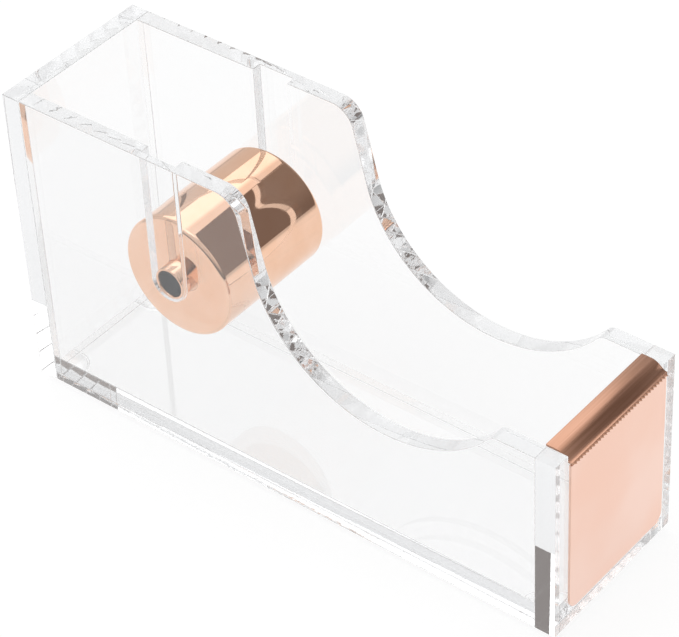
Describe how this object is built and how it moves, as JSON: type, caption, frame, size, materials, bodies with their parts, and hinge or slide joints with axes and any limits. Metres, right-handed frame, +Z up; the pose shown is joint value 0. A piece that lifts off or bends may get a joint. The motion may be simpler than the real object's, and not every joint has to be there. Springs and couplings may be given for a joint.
{
  "type": "tape dispenser",
  "caption": "Clear acrylic desktop tape dispenser with a lift-out metal drum, a serrated cutting edge and a metal face plate at its front.",
  "frame": {"origin": "on the table, under the middle of the object's box", "axes": "+X towards the cutting edge, +Y across the case, +Z up"},
  "size_m": [0.1264, 0.0364, 0.0691],
  "materials": {
    "clear_acrylic": "clear cast acrylic, flame-polished edges",
    "clear_rubber": "clear soft bumper",
    "clear_adhesive": "clear double-sided film",
    "rose_gold_polished": "polished rose gold plating",
    "rose_gold_blade": "finely brushed rose gold",
    "rose_gold_plate": "satin rose gold plating",
    "black_rubber": "dull moulded"
  },
  "bodies": {
    "case": {"side_wall_left": "clear_acrylic", "side_wall_right": "clear_acrylic", "back_wall": "clear_acrylic", "front_wall": "clear_acrylic", "base_plate": "clear_acrylic", "front_plate": "rose_gold_plate", "plate_adhesive": "clear_adhesive", "cutter_blade": "rose_gold_blade", "foot_rear_left": "clear_rubber", "foot_rear_right": "clear_rubber", "foot_front_left": "clear_rubber", "foot_front_right": "clear_rubber"},
    "axle": {"spool_axle": "rose_gold_polished", "axle_plug_left": "black_rubber", "axle_plug_right": "black_rubber"},
    "spool": {"spool_sleeve": "rose_gold_polished", "spool_cap_left": "rose_gold_polished", "spool_cap_right": "rose_gold_polished"}
  },
  "joints": [
    {"name": "spool_lift", "type": "slide", "parent": "case", "child": "axle", "axis": [0, 0, 1], "range_m": [0, 0.06]},
    {"name": "spool_spin", "type": "hinge", "parent": "axle", "child": "spool", "pos_m": [-0.026, 0, 0.0406], "axis": [0, 1, 0], "continuous": true}
  ]
}
